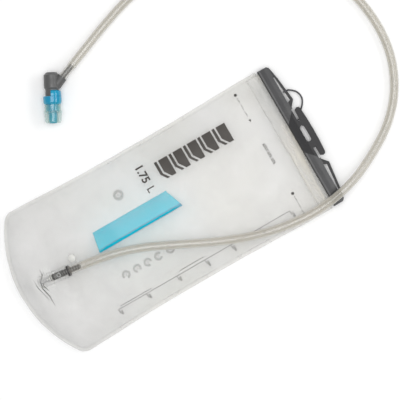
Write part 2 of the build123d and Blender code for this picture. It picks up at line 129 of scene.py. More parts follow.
class Shader:
    """A small builder for one Principled material and the procedural nodes that feed it."""

    def __init__(self, name, colour, roughness=0.5, **inputs):
        self.material = bpy.data.materials.new(name)
        self.material.use_nodes = True
        self.tree = self.material.node_tree
        self.bsdf = self.tree.nodes["Principled BSDF"]
        self.output = self.tree.nodes["Material Output"]
        self.bsdf.inputs["Base Color"].default_value = (*colour, 1)
        self.bsdf.inputs["Roughness"].default_value = roughness
        for key, value in inputs.items():
            self.bsdf.inputs[key.replace("_", " ")].default_value = value
        self.colour = colour
        self.roughness = roughness
        self.place = self.node("ShaderNodeTexCoord").outputs["Object"]
        self.normal = None

    def node(self, kind, **settings):
        """Adds a node; settings are its inputs or its properties."""
        made = self.tree.nodes.new(kind)
        for key, value in settings.items():
            if key in made.inputs:
                made.inputs[key].default_value = value
            else:
                setattr(made, key, value)
        return made

    def link(self, source, target):
        self.tree.links.new(source, target)

    def noise(self, scale, detail=3.0, stretch=(1, 1, 1), distortion=0.0):
        """A noise field over the piece; scale is in waves per metre."""
        mapping = self.node("ShaderNodeMapping")
        mapping.inputs["Scale"].default_value = stretch
        self.link(self.place, mapping.inputs["Vector"])
        field = self.node("ShaderNodeTexNoise", Scale=scale, Detail=detail, Distortion=distortion)
        self.link(mapping.outputs["Vector"], field.inputs["Vector"])
        return field.outputs["Fac"]

    def ramp(self, source, low, high, start=0.35, end=0.65):
        """Maps a field to a range of values."""
        scaled = self.node("ShaderNodeMapRange")
        self.link(source, scaled.inputs["Value"])
        limits = {"From Min": start, "From Max": end, "To Min": low, "To Max": high}
        for key, value in limits.items():
            scaled.inputs[key].default_value = value
        return scaled.outputs["Result"]

    def maths(self, operation, first, second):
        """One arithmetic step on fields or numbers."""
        step = self.node("ShaderNodeMath", operation=operation)
        for socket, value in zip(step.inputs, (first, second)):
            if isinstance(value, (int, float)):
                socket.default_value = value
            else:
                self.link(value, socket)
        return step.outputs[0]

    def axes(self):
        """The piece's X, Y and Z in metres."""
        parts = self.node("ShaderNodeSeparateXYZ")
        self.link(self.place, parts.inputs[0])
        return parts.outputs

    def measure(self, operation, vector):
        """How far the place lies along a direction, or from a point."""
        step = self.node("ShaderNodeVectorMath", operation=operation)
        self.link(self.place, step.inputs[0])
        step.inputs[1].default_value = vector
        return step.outputs["Value"]

    def vary_colour(self, source, other, start=0.35, end=0.65):
        """Mixes the base colour towards another where the field is high."""
        mix = self.node("ShaderNodeMix", data_type="RGBA")
        self.link(self.ramp(source, 0, 1, start, end), mix.inputs[0])
        base = self.bsdf.inputs["Base Color"]
        if base.is_linked:
            self.link(base.links[0].from_socket, mix.inputs[6])
        else:
            mix.inputs[6].default_value = (*self.colour, 1)
        mix.inputs[7].default_value = (*other, 1)
        self.link(mix.outputs[2], base)

    def vary(self, key, source, low, high, start=0.35, end=0.65):
        """Varies one input between two values."""
        self.link(self.ramp(source, low, high, start, end), self.bsdf.inputs[key])

    def bump(self, source, height, strength):
        """Adds relief of a height in metres."""
        bump = self.node("ShaderNodeBump", Strength=strength, Distance=height)
        self.link(source, bump.inputs["Height"])
        if self.normal:
            self.link(self.normal, bump.inputs["Normal"])
        self.normal = bump.outputs["Normal"]
        self.link(self.normal, self.bsdf.inputs["Normal"])

    def see_through(self, cover, rim, glow=0.3, gloss=1.0, extra=None, turn=0.55):
        """Lets light through. Cover is the share hidden face on and rim along the edges; glow is
        the share lit from behind, and only the outer side shines."""
        weight = self.node("ShaderNodeLayerWeight", Blend=turn)
        hidden = self.ramp(weight.outputs["Facing"], cover, rim, 0.05, 0.95)
        if extra is not None:
            hidden = self.maths("MULTIPLY", hidden, extra)
        translucent = self.node("ShaderNodeBsdfTranslucent")
        self.link(self.bsdf.inputs["Base Color"].links[0].from_socket, translucent.inputs["Color"])
        lit = self.node("ShaderNodeMixShader", Fac=glow)
        self.link(self.bsdf.outputs[0], lit.inputs[1])
        self.link(translucent.outputs[0], lit.inputs[2])
        body = self.node("ShaderNodeMixShader")
        self.link(hidden, body.inputs[0])
        self.link(self.node("ShaderNodeBsdfTransparent").outputs[0], body.inputs[1])
        self.link(lit.outputs[0], body.inputs[2])
        shine = self.node("ShaderNodeBsdfAnisotropic", Roughness=self.roughness)
        fresnel = self.node("ShaderNodeFresnel", IOR=1.45)
        for target in (shine, fresnel, weight):
            self.link(self.normal, target.inputs["Normal"])
        top = self.node("ShaderNodeMixShader")
        geometry = self.node("ShaderNodeNewGeometry")
        outside = self.maths("SUBTRACT", 1.0, geometry.outputs["Backfacing"])
        shining = self.maths("MULTIPLY", self.maths("MULTIPLY", fresnel.outputs[0], gloss), outside)
        self.link(shining, top.inputs[0])
        self.link(body.outputs[0], top.inputs[1])
        self.link(shine.outputs[0], top.inputs[2])
        self.link(top.outputs[0], self.output.inputs["Surface"])
        return self.material


def film_material(name, colour, cover, rim, roughness=0.3, gloss=0.6):
    """Frosted film: mostly see-through, with a drifting haze and fine handling marks, and painted
    shade that makes it a little darker towards the bottom of the bag."""
    film = Shader(name, colour, roughness)
    film.vary_colour(film.noise(16, 4), tuple(c * f for c, f in zip(colour, (0.97, 0.965, 0.93))))
    # painted shade: the film's colour darkens towards the bottom of the bag
    film.vary_colour(film.axes()[1], tuple(c * 0.84 for c in colour), -0.06, -0.16)
    film.bump(film.noise(30, 3, distortion=0.6), 0.0008, 0.35)
    film.bump(film.noise(900, 2), 0.00001, 0.4)
    haze = film.ramp(film.noise(26, 5, distortion=0.4), 0.88, 1.14)
    return film.see_through(cover, rim, glow=0.35, gloss=gloss, extra=haze)


def flap_material():
    """The folded strip: film of several layers, milky in streaks that run along the mouth; the light
    streaks are partly painted highlight, and the darker grey streaks between them are painted shade.
    """
    film = Shader("folded_film", linear(240, 239, 236), 0.3)
    milky_and_highlight_streaks = film.noise(34, 5, stretch=(0.5, 3.2, 1.0), distortion=0.5)
    # milky streaks of the layered film, partly painted highlight
    film.vary_colour(milky_and_highlight_streaks, linear(250, 244, 230), 0.42, 0.72)
    # painted shade: darker grey streaks along the fold
    film.vary_colour(film.noise(22, 3, stretch=(0.6, 2.0, 1.0)), linear(222, 223, 222), 0.5, 0.75)
    film.bump(film.noise(60, 4, stretch=(0.5, 2.0, 1.0), distortion=0.8), 0.0007, 0.6)
    return film.see_through(0.2, 0.36, glow=0.35, gloss=0.7, extra=film.ramp(milky_and_highlight_streaks, 0.6, 1.7))


def baffle_material():
    """Blue film, denser where it is welded to the front panel and lighter towards its rear edge."""
    film = Shader("blue_film", (0.004, 0.84, 1.0), 0.35)
    across = film.axes()[0]
    film.vary_colour(across, (0.0, 0.42, 0.66), -0.0034, -0.0016)
    film.vary_colour(film.noise(40, 3), (0.02, 0.88, 1.0), 0.4, 0.9)
    film.bump(film.noise(90, 3), 0.0003, 0.4)
    density = film.ramp(across, 0.84, 1.05, -0.021, -0.004)
    return film.see_through(0.88, 0.95, glow=0.45, gloss=0.15, extra=density)


def moulded(name, colour, roughness, grain=0.00003, **inputs):
    """Injection-moulded plastic with a fine grain, slight colour drift and handling sheen."""
    part = Shader(name, colour, roughness, **inputs)
    part.vary_colour(part.noise(70, 4), tuple(min(1, c * 1.15 + 0.003) for c in colour))
    part.vary("Roughness", part.noise(160, 5), roughness - 0.06, roughness + 0.1)
    part.bump(part.noise(2600, 2), grain, 0.6)
    return part.material


FACET_FOOT_Y = 0.1603
FACET_HALF = 0.0165
FACET_SPREAD = 1.058
HANGER_Y = 0.1735
# edge of the painted shadow line along the channel's lip
LIP_SHADOW_Y = 0.1621


def slider_material():
    """Black acetal: satin facets and a ribbed middle; painted shade darkens the middle and the
    hanger, and a painted shadow line runs along the channel's lip.
    """
    part = Shader("black_acetal", linear(47, 47, 49), 0.34)
    part.vary_colour(part.noise(60, 4), linear(56, 56, 57))
    x, y, _ = part.axes()
    forward = part.maths("SUBTRACT", y, FACET_FOOT_Y)
    reach = part.maths("ADD", part.maths("MULTIPLY", forward, FACET_SPREAD), FACET_HALF)
    middle = part.maths("LESS_THAN", part.maths("ABSOLUTE", x, 0), reach)
    hanger = part.maths("GREATER_THAN", y, HANGER_Y)
    painted_shade_zone = part.maths("MAXIMUM", middle, hanger)
    # painted shade: the ribbed middle facet and the hanger are darkened, and also made rougher below
    part.vary_colour(painted_shade_zone, linear(19, 18, 21), 0.0, 1.0)
    # painted shadow: a near-black line along the channel's lip
    part.vary_colour(part.maths("LESS_THAN", y, LIP_SHADOW_Y), linear(4, 4, 4), 0.0, 1.0)
    part.vary("Roughness", painted_shade_zone, 0.33, 0.5, 0.0, 1.0)
    ribs = part.node("ShaderNodeTexWave", Scale=420.0, wave_type="BANDS", bands_direction="Y")
    part.link(part.place, ribs.inputs["Vector"])
    part.bump(part.maths("MULTIPLY", ribs.outputs["Fac"], middle), 0.00008, 0.5)
    part.bump(part.noise(2200, 2), 0.00003, 0.6)
    return part.material


def clear(name, colour, cover, rim, roughness=0.1, gloss=1.6, turn=0.5, ripple=0.00008):
    """Clear moulded plastic: see-through on its face, denser along its edges, with flow marks."""
    part = Shader(name, colour, roughness)
    part.vary_colour(part.noise(60, 3), tuple(c * 0.91 for c in colour))
    part.bump(part.noise(90, 2), ripple, 0.5)
    haze = part.ramp(part.noise(70, 3), 0.85, 1.15)
    return part.see_through(cover, rim, glow=0.25, gloss=gloss, extra=haze, turn=turn)


PLUG_RING_PITCH = 3.0 * MM


def plug_plastic():
    """Dark grey plug, with painted highlights on the crests of its rings and barbs."""
    part = Shader("plug_plastic", linear(52, 50, 50), 0.42)
    along = part.measure("DOT_PRODUCT", PORT_DIR)
    wave = part.maths("SINE", part.maths("MULTIPLY", along, 2 * pi / PLUG_RING_PITCH), 0)
    # painted highlight: the crests of the rings and barbs are made lighter
    part.vary_colour(wave, linear(122, 120, 118), -0.1, 1.0)
    part.vary_colour(part.noise(420, 3), linear(36, 35, 35), 0.5, 0.75)
    part.bump(wave, 0.00008, 0.6)
    return part.material


def blue_plastic():
    """Glossy blue plastic, deeper towards the elbow and greener towards the mouthpiece."""
    part = Shader("blue_plastic", linear(0, 148, 186), 0.18, Coat_Weight=0.5, Coat_Roughness=0.04)
    part.bsdf.inputs["Specular IOR Level"].default_value = 0.35
    along = part.measure("DOT_PRODUCT", VALVE_DIR)
    start = VALVE_CENTRE.dot(VALVE_DIR)
    part.vary_colour(along, linear(0, 148, 172), start + 22 * MM, start + 32 * MM)
    part.vary_colour(part.noise(120, 3), linear(0, 126, 170), 0.5, 0.8)
    part.bump(part.noise(300, 2), 0.00001, 0.4)
    return part.material


def hose_material(name, colour, cover, rim, roughness, gloss, turn):
    """Milky extruded tube, clearer where it is stretched over the barbs at its two ends."""
    part = Shader(name, colour, roughness)
    part.vary_colour(part.noise(60, 3), tuple(c * 0.97 for c in colour))
    part.bump(part.noise(90, 2), 0.000004, 0.5)
    away = [part.measure("DISTANCE", end) for end in (HOSE_START, HOSE_END)]
    stretched = part.ramp(part.maths("MINIMUM", *away), 0.38, 1.0, 0.013, 0.018)
    haze = part.maths("MULTIPLY", stretched, part.ramp(part.noise(70, 3), 0.96, 1.04))
    return part.see_through(cover, rim, glow=0.25, gloss=gloss, extra=haze, turn=turn)


def cord_material():
    """Thin braided cord: two crossing sets of strands."""
    cord = Shader("braided_cord", linear(48, 48, 50), 0.8)
    braid = cord.node("ShaderNodeTexVoronoi", Scale=1500.0)
    cord.link(cord.place, braid.inputs["Vector"])
    cord.bump(braid.outputs["Distance"], 0.00025, 0.9)
    cord.vary_colour(braid.outputs["Distance"], linear(88, 88, 92), 0.2, 0.7)
    return cord.material


FILM = film_material("frosted_film", linear(228, 227, 225), 0.15, 0.17, gloss=0.4)
WELD = film_material("weld_film", linear(218, 217, 213), 0.30, 0.32, gloss=0.4)
FLAP = flap_material()
BAFFLE = baffle_material()
BAFFLE_SEAM = moulded("seam_film", (0.0, 0.38, 0.52), 0.5, 0.00002, Specular_IOR_Level=0.1)
PORT = clear("clear_port", linear(214, 214, 208), 0.03, 0.16, 0.10, 0.6)
BUTTON = clear("clear_button", linear(200, 200, 194), 0.10, 0.45, 0.10, 1.2)
TUBE = hose_material("hose_wall", linear(221, 217, 206), 0.34, 0.90, 0.18, 1.1, 0.46)
BORE = hose_material("hose_bore", linear(182, 175, 158), 0.12, 0.90, 0.20, 0.4, 0.42)
SHEATH = clear("sheath_silicone", linear(190, 224, 214), 0.05, 0.70, 0.12, 1.1, 0.4, 0.00002)
RIBS = clear("mouth_ribs", linear(230, 230, 226), 0.2, 0.6)
BLACK = slider_material()
GREY = moulded("grey_plastic", linear(82, 82, 82), 0.40)
PLUG = plug_plastic()
BLUE = blue_plastic()
WHITE = moulded("white_acetal", linear(225, 225, 220), 0.35)
SEAL = moulded("seal_rubber", linear(38, 38, 40), 0.55)
# painted shade: the dark colour of the pleats stands for the shadows of the folds
PLEAT_SHADOW = film_material("painted_fold_shadow", linear(84, 83, 76), 0.50, 0.9, gloss=0.2)
# painted highlight: a near-opaque white film that stands for a reflection
HIGHLIGHT_FILM = film_material("painted_highlight_film", linear(255, 255, 252), 0.94, 0.96, 0.1)
REAR_INK = film_material("rear_ink", linear(116, 114, 110), 0.12, 0.14, gloss=0.1)
STEEL = moulded("spring_steel", linear(190, 190, 192), 0.3, 0.00001, Metallic=1.0)
INK = moulded("print_ink", linear(66, 62, 58), 0.5, 0.00001)
PALE_INK = moulded("pale_ink", linear(62, 60, 57), 0.5, 0.00001)
CORD = cord_material()


# ---------------------------------------------------------------- mesh helpers
SHARP_ANGLE = 32.0


def link_mesh(name, mesh, material, smooth=True):
    """Puts a mesh in the scene as a new piece."""
    piece = bpy.data.objects.new(name, mesh)
    bpy.context.scene.collection.objects.link(piece)
    mesh.materials.append(material)
    mesh.polygons.foreach_set("use_smooth", [smooth] * len(mesh.polygons))
    return piece


def grid_piece(name, rows, material, around=False):
    """A surface through rows of points, in millimetres; around closes the rows, with end caps."""
    height, width = len(rows), len(rows[0])
    points = [Vector(p) * MM for row in rows for p in row]
    faces = []
    for i in range(height - 1):
        for j in range(width if around else width - 1):
            k, m = (j + 1) % width, i + 1
            faces.append((i * width + j, i * width + k, m * width + k, m * width + j))
    if around:
        faces.append(tuple(range(width - 1, -1, -1)))
        faces.append(tuple((height - 1) * width + j for j in range(width)))
    mesh = bpy.data.meshes.new(name)
    mesh.from_pydata(points, [], faces)
    mesh.validate()
    mesh.update()
    return link_mesh(name, mesh, material)


def thicken(piece, thickness, offset=-1.0):
    """Gives a surface its thickness, in millimetres; offset -1 is behind its faces, 1 in front."""
    solid = piece.modifiers.new("thickness", "SOLIDIFY")
    solid.thickness = thickness * MM
    solid.offset = offset
    return piece


def round_edges(piece, width):
    """Rounds the sharp edges of a piece, in millimetres."""
    bevel = piece.modifiers.new("edges", "BEVEL")
    bevel.width = width * MM
    bevel.segments = 2
    bevel.limit_method = "ANGLE"
    bevel.angle_limit = radians(SHARP_ANGLE)


def settle(piece, body, slot, *nodes):
    """Says which body a piece rides and the CAD nodes that it stands for; slot, the finish it takes,
    is not used.
    """
    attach(piece, body)
    if nodes:
        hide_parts(*nodes)
    return piece


# ---------------------------------------------------------------- cords
def nurbs(name, points, radius, material, sides, steps):
    """One smooth open NURBS curve with a round section."""
    curve = bpy.data.curves.new(name, "CURVE")
    curve.dimensions = "3D"
    spline = curve.splines.new("NURBS")
    spline.points.add(len(points) - 1)
    for knot, point in zip(spline.points, points):
        knot.co = (*point, 1)
    spline.order_u = 3
    spline.use_endpoint_u = True
    spline.resolution_u = steps
    curve.bevel_depth = radius
    curve.bevel_resolution = sides
    curve.use_fill_caps = True
    curve.materials.append(material)
    piece = bpy.data.objects.new(name, curve)
    bpy.context.scene.collection.objects.link(piece)
    return piece


def coil(name, foot, axis, height, pitch, radius, wire, material):
    """A round wire wound into a spring that stands on its foot along an axis, as a mesh."""
    side = axis.orthogonal().normalized()
    turns = height / pitch
    winding = []
    for turn in np.linspace(0, 2 * pi * turns, int(24 * turns) + 1):
        out = side * cos(turn) + axis.cross(side) * sin(turn)
        winding.append(foot + out * radius + axis * pitch * turn / (2 * pi))
    curve = nurbs(name + "_line", winding, wire, material, sides=3, steps=3)
    shown = curve.evaluated_get(bpy.context.evaluated_depsgraph_get())
    piece = bpy.data.objects.new(name, bpy.data.meshes.new_from_object(shown))
    bpy.context.scene.collection.objects.link(piece)
    bpy.data.objects.remove(curve)
    return piece


HOSE_ROUTE = [
    HOSE_START,
    HOSE_START + PORT_DIR * HOSE_LEAD,
    (0.0170, -0.0470, 0.0326),
    (0.0365, -0.0070, 0.0312),
    (0.0560, 0.0330, 0.0272),
    (0.0712, 0.0730, 0.0215),
    (0.0790, 0.1130, 0.0180),
    (0.0802, 0.1500, 0.0188),
    (0.0725, 0.1900, 0.0188),
    (0.0580, 0.2220, 0.0110),
    (0.0390, 0.2545, 0.0058),
    (0.0090, 0.2830, 0.0048),
    (-0.0330, 0.3005, 0.0048),
    (-0.0800, 0.3020, 0.0048),
    (-0.1260, 0.2910, 0.0048),
    (-0.1660, 0.2690, 0.0048),
    (-0.1975, 0.2390, 0.0048),
    (-0.2190, 0.2030, 0.0048),
    (-0.2305, 0.1630, 0.0048),
    (-0.2330, 0.1200, 0.0048),
    (-0.2270, 0.0780, 0.0049),
    (-0.2135, 0.0380, 0.0076),
    HOSE_END + STEM_DIR * HOSE_TAIL,
    HOSE_END,
]
TETHER_ROUTE = [
    (-0.0515, 0.1802, 0.0046),
    (-0.0486, 0.1850, 0.0020),
    (-0.0430, 0.1892, 0.0011),
    (-0.0360, 0.1898, 0.0011),
    (-0.0302, 0.1868, 0.0011),
    (-0.0262, 0.1828, 0.0011),
    (-0.0230, 0.1794, 0.0014),
]

hose = nurbs("hose_tube", HOSE_ROUTE, HOSE_RADIUS, TUBE, sides=8, steps=12)
settle(hose, "hose_line", "hose_tube", "hose")
bore = nurbs("hose_bore", HOSE_ROUTE, BORE_RADIUS, BORE, sides=6, steps=12)
settle(bore, "hose_line", "hose_tube")
tether = nurbs("tether_loop", TETHER_ROUTE, CORD_RADIUS, CORD, sides=4, steps=10)
settle(tether, "closure", "tether_cord", "tether_cord")


# ---------------------------------------------------------------- bag outline
CORNER_RADIUS = 14.0
BOTTOM_Y = -188.0
BOTTOM_RADIUS = 144.0
HIP = 87.8
SIDE_KNOTS = [
    (-152, HIP), (-125, 87.0), (-90, 85.3), (-50, 84.2), (40, 84.0), (90, 84.9), (125, 86.0),
    (170, 86.2),
]
SIDE_BLUR = 12.0
BOTTOM_CENTRE = BOTTOM_Y + BOTTOM_RADIUS
CORNER_REACH = BOTTOM_RADIUS - CORNER_RADIUS
CORNER_TURN = acos((HIP - CORNER_RADIUS) / CORNER_REACH)
CORNER = (HIP - CORNER_RADIUS, BOTTOM_CENTRE - CORNER_REACH * sin(CORNER_TURN))
RIM = 4.0
RIM_TOP = 158.0
STRIP_Y = 162.5


def eased(y, knots, blur):
    """A straight-sided profile with its corners smoothed over a distance."""
    ys, values = zip(*knots)
    return float(np.mean([np.interp(y + d, ys, values) for d in np.linspace(-blur, blur, 9)]))


def half_width(y, inset=0.0):
    """Half the bag's width at a height along it."""
    if y >= CORNER[1]:
        return eased(y, SIDE_KNOTS, SIDE_BLUR) - inset
    radius = CORNER_RADIUS - inset
    if y >= CORNER[1] - radius * sin(CORNER_TURN):
        return CORNER[0] + sqrt(max(0, radius ** 2 - (y - CORNER[1]) ** 2))
    return sqrt(max(0.0, (BOTTOM_RADIUS - inset) ** 2 - (y - BOTTOM_CENTRE) ** 2))


# height of the upper film above the weld, and depth of the lower one under it, along the middle
TOP_KNOTS = [
    (-188, 0.0), (-184, 0.3), (-180, 3.0), (-174, 6.1), (-166, 6.9), (-138, 7.0), (-60, 19.6),
    (0, 20.6), (60, 19.6), (120, 9.6), (146, 4.8), (158, 1.0), (170, 0.9),
]
LOW_KNOTS = [(-188, 0.0), (-184, 0.3), (-179, 3.2), (-171, 6.1), (136, 6.1), (158, 0.9), (170, 0.8)]
TOP_BLUR = 5.0
LOW_BLUR = 4.0


def crease(x, y, start, end, width):
    """How much of a crease between two places is felt at a point, fading at its ends."""
    ax, ay, bx, by = *start, *end
    run = sqrt((bx - ax) ** 2 + (by - ay) ** 2)
    along = ((x - ax) * (bx - ax) + (y - ay) * (by - ay)) / run
    off = ((x - ax) * (by - ay) - (y - ay) * (bx - ax)) / run
    if along < 0 or along > run:
        return 0.0
    return exp(-((off / width) ** 2)) * sin(pi * along / run)


# start, end, width and height of each crease
CREASES = [
    ((-17.0, -154.0), (20.0, -162.0), 1.0, 1.3),
    ((-12.0, -159.0), (24.0, -166.5), 1.0, -1.0),
    ((-30.0, 158.0), (-8.0, 120.0), 4.0, -1.1),
    ((2.0, 158.0), (12.0, 122.0), 3.5, -1.6),
    ((46.0, 158.0), (40.0, 112.0), 4.5, -1.0),
    ((-66.0, 158.0), (-58.0, 118.0), 5.0, 0.9),
    ((-74.0, -140.0), (-40.0, -100.0), 6.0, 1.1),
    ((76.0, -130.0), (48.0, -84.0), 6.0, 0.9),
    ((-50.0, -172.0), (-24.0, -146.0), 4.0, 0.8),
    ((52.0, -170.0), (30.0, -140.0), 4.5, 0.9),
]


def uneven(x, y):
    """Soft unevenness of the film: broad swells, a fan of folds at the mouth, and the creases."""
    swell = noise.noise(Vector((x / 46, y / 60, 0.3))) * 0.8
    fine = noise.noise(Vector(((x + 0.4 * y) / 15, (y - 0.3 * x) / 34, 4.1))) * 0.25
    mouth = exp(-(((y - 150) / 24) ** 2))
    fan = sin(x / 6.3 + 2.0 * noise.noise(Vector((x / 22, y / 40, 7)))) * 0.22 * mouth
    return swell + fine + fan + sum(h * crease(x, y, a, b, w) for a, b, w, h in CREASES)


PORT_FLAT = (-3.0, -156.0, 17.0)


def film_point(x, y, upper=True):
    """A point of the upper or lower film above a place in the plan."""
    width = max(0.01, half_width(y, RIM))
    share = min(1.0, abs(x) / width)
    if upper:
        height = eased(y, TOP_KNOTS, TOP_BLUR)
        middle_x, middle_y, reach = PORT_FLAT
        flat = exp(-((((x - middle_x) / reach) ** 2 + ((y - middle_y) / reach) ** 2) ** 2))
        lift = height * (1 - share ** 2.8)
        bumps = uneven(x, y) * min(1.0, height / 8) * (1 - share ** 4) * (1 - 0.8 * flat)
        return Vector((x, y, SEAM_Z + 0.3 + max(0.0, lift + bumps - 0.3)))
    depth = eased(y, LOW_KNOTS, LOW_BLUR)
    return Vector((x, y, SEAM_Z - 0.3 - (depth - 0.35) * (1 - share ** 8)))


FILM_ROWS = 200
FILM_COLUMNS = 100


def film_rows(upper):
    """Rows of points across the bag, closer together towards its rim."""
    foot = BOTTOM_Y + RIM + 0.02
    shares = []
    for j in range(FILM_COLUMNS + 1):
        t = j / FILM_COLUMNS
        shares.append(0.3 * sin(pi * (t - 0.5)) + 0.7 * (2 * t - 1))
    made = []
    for i in range(FILM_ROWS + 1):
        y = foot + (STRIP_Y - foot) * (i / FILM_ROWS) ** 1.3
        width = half_width(y, RIM)
        made.append([film_point(width * s, y, upper) for s in shares])
    return made


front = thicken(grid_piece("front_film", film_rows(True), FILM), FILM_THICKNESS)
rear = thicken(grid_piece("rear_film", film_rows(False), FILM), FILM_THICKNESS, 1.0)
settle(front, "bladder", "clear_film", "front_panel")
settle(rear, "bladder", "clear_film", "rear_panel")


def rim_path():
    """Points of the bag's edge, from mouth to mouth round the bottom, with outward directions."""
    places = []
    for y in np.linspace(RIM_TOP, CORNER[1], 110):
        places.append((Vector((half_width(y), y, 0)), Vector((1, 0, 0))))
    for a in np.linspace(0, degrees(CORNER_TURN), 16)[1:]:
        out = Vector((cos(radians(a)), -sin(radians(a)), 0))
        places.append((Vector((*CORNER, 0)) + out * CORNER_RADIUS, out))
    for a in np.linspace(90 - degrees(CORNER_TURN), 0, 40)[1:]:
        out = Vector((sin(radians(a)), -cos(radians(a)), 0))
        places.append((Vector((0, BOTTOM_CENTRE, 0)) + out * BOTTOM_RADIUS, out))
    mirrored = [(Vector((-p.x, p.y, 0)), Vector((-o.x, o.y, 0))) for p, o in reversed(places[:-1])]
    return places + mirrored


def weld_rows():
    """The flat weld, a little wavy, with a shallow pressed band along its middle."""
    rows = []
    for k, (place, out) in enumerate(rim_path()):
        wave = 0.9 * noise.noise(Vector((k / 11, 2.0, 1.0)))
        edge = 0.5 * noise.noise(Vector((k / 7, 5.0, 1.0)))
        section = [
            (-4.1, 0.30), (-3.2, 0.30), (-2.6, 0.26), (-1.2, 0.26), (-0.7, 0.28),
            (edge * 0.5, 0.16), (edge * 0.5, -0.16), (-0.7, -0.28), (-3.2, -0.30), (-4.1, -0.30),
        ]
        row = []
        for w, h in section:
            lift = wave * max(0, w + 4.5) / 5
            row.append(place + out * w + UP * (SEAM_Z + h + lift))
        rows.append(row)
    return rows


weld = grid_piece("weld_rim", weld_rows(), WELD, around=True)
settle(weld, "bladder", "clear_film", "perimeter_weld")

# ---------------------------------------------------------------- folded mouth
FOLD_HALF = 82.0
CAVITY_Y = 165.6
FLAP_Y = 145.0
BULB_OUTSIDE = 2.9
BULB_INSIDE = 2.3
BULB_TURN = 118


def bulb(radius, turns):
    """Points round the cavity that holds the ribs, in the fold's section."""
    return [
        (CAVITY_Y + radius * cos(radians(a)), SEAM_Z + radius * sin(radians(a))) for a in turns
    ]


def fold_section(x):
    """The fold's section at a place across the bag: flap, bulb round the ribs and lower leg."""
    waver = 1.6 * noise.noise(Vector((x / 34, 0, 3)))
    edge = FLAP_Y + waver + 0.5 * noise.noise(Vector((x / 8, 0, 9)))
    ripple = 0.35 * noise.noise(Vector((x / 11, 1, 5)))
    section = [
        (edge, 11.75 + ripple),
        (edge + 0.1, 12.15 + ripple),
        (149.0, 11.6 + ripple),
        (154.0, 9.9 + ripple * 0.5),
        (158.4, 8.35),
        (163.0, 8.3),
    ]
    turns = np.linspace(BULB_TURN, -BULB_TURN, 13)
    section += bulb(BULB_OUTSIDE, turns)
    section += [(163.0, 4.2), (158.2, 4.2), (158.2, 4.7), (163.6, 4.7)]
    section += bulb(BULB_INSIDE, reversed(turns))
    section += [(163.0, 7.7), (158.2, 7.75), (154.0, 9.4 + ripple * 0.5), (149.0, 11.15 + ripple)]
    return [Vector((x, y, z)) for y, z in section]


fold_rows = [fold_section(x) for x in np.linspace(-FOLD_HALF, FOLD_HALF, 150)]
fold = grid_piece("folded_mouth", fold_rows, FLAP, around=True)
settle(fold, "bladder", "clear_film", "top_fold")

# ---------------------------------------------------------------- baffle
WEB_FRONT_X = -0.5
WEB_REAR_X = -20.0
WEB_REAR_Z = 0.9
WEB_START_Y = -88.0
WEB_LENGTH = 104.0
WEB_MIDDLE_Y = -37


def baffle_rows():
    """The web from the upper film down to the lower one, with a welded strip along each."""
    rows = []
    for t in np.linspace(0, 1, 60):
        y = WEB_START_Y + WEB_LENGTH * t
        top = film_point(WEB_FRONT_X, y).z - 0.75
        row = [Vector((WEB_FRONT_X + 1.6, y, top - 0.05)), Vector((WEB_FRONT_X + 0.2, y, top))]
        for s in np.linspace(0, 1, 14):
            sag = 1.2 * sin(pi * s) * (0.6 + 0.4 * sin(pi * t))
            x = WEB_FRONT_X + (WEB_REAR_X - WEB_FRONT_X) * s - sag
            pull = (y - WEB_MIDDLE_Y) * (1 - 0.05 * s) + WEB_MIDDLE_Y - 5.0 * s * t
            row.append(Vector((x, pull, top + (WEB_REAR_Z - top) * s)))
        row.append(Vector((WEB_REAR_X - 2.5, row[-1].y, 0.8)))
        rows.append(row)
    return rows


baffle = thicken(grid_piece("baffle_film", baffle_rows(), BAFFLE), BAFFLE_THICKNESS)
settle(baffle, "bladder", "blue_film", "baffle")


def seam_rows():
    """The narrow weld that joins the baffle to the upper film, wider towards the port."""
    section = ((-1, 0.03), (-0.7, 0.08), (0.7, 0.08), (1, 0.03))
    rows = []
    for t in np.linspace(0, 1, 70):
        y = -88.6 + 102.6 * t
        ends = min(1.0, 9 * t + 0.2, 9 - 9 * t + 0.3)
        half = (1.4 - 0.6 * t + 0.2 * noise.noise(Vector((y / 5, 0, 2)))) * ends
        x = WEB_FRONT_X + 0.25 * noise.noise(Vector((y / 14, 3, 0)))
        rows.append([film_point(x + half * w, y) + UP * h for w, h in section])
    return rows


seam = thicken(grid_piece("baffle_seam", seam_rows(), BAFFLE_SEAM), SEAM_THICKNESS)
settle(seam, "bladder", "blue_film")

# ---------------------------------------------------------------- CAD nodes that keep their shape
PAINT = {
    "mouth_rib_front": RIBS,
    "mouth_rib_rear": RIBS,
    "exit_port": PORT,
    "shutoff_plunger": WHITE,
    "plunger_seal": SEAL,
    "plunger_spring": STEEL,
    "release_button": BUTTON,
    "slide_closure": BLACK,
    "tether_hitch": CORD,
    "tether_knot": CORD,
    "hose_plug": PLUG,
    "plug_o_rings": SEAL,
    "valve_elbow": GREY,
    "valve_core": BLUE,
    "valve_o_ring": SEAL,
    "valve_collar": BLUE,
    "bite_sheath": SHEATH,
}
for node, material in PAINT.items():
    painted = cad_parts[node].data.materials
    painted.clear()
    painted.append(material)

spring = coil(
    "button_coil",
    foot=BUTTON_BASE + PORT_UP * 5.2 * MM,
    axis=PORT_UP,
    height=1.5 * MM,
    pitch=0.75 * MM,
    radius=2.0 * MM,
    wire=0.2 * MM,
    material=STEEL,
)
settle(spring, "bladder", "spring_wire", "button_spring")
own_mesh(spring)

EDGES = {
    "slide_closure": 0.3,
    "valve_elbow": 0.7,
    "valve_collar": 0.5,
    "exit_port": 0.3,
    "release_button": 0.2,
}
for node, width in EDGES.items():
    round_edges(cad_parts[node], width)


# ---------------------------------------------------------------- prints
INK_GAP = 0.10
REAR_INK_LIFT = 0.6
INK_STEP = 3.0


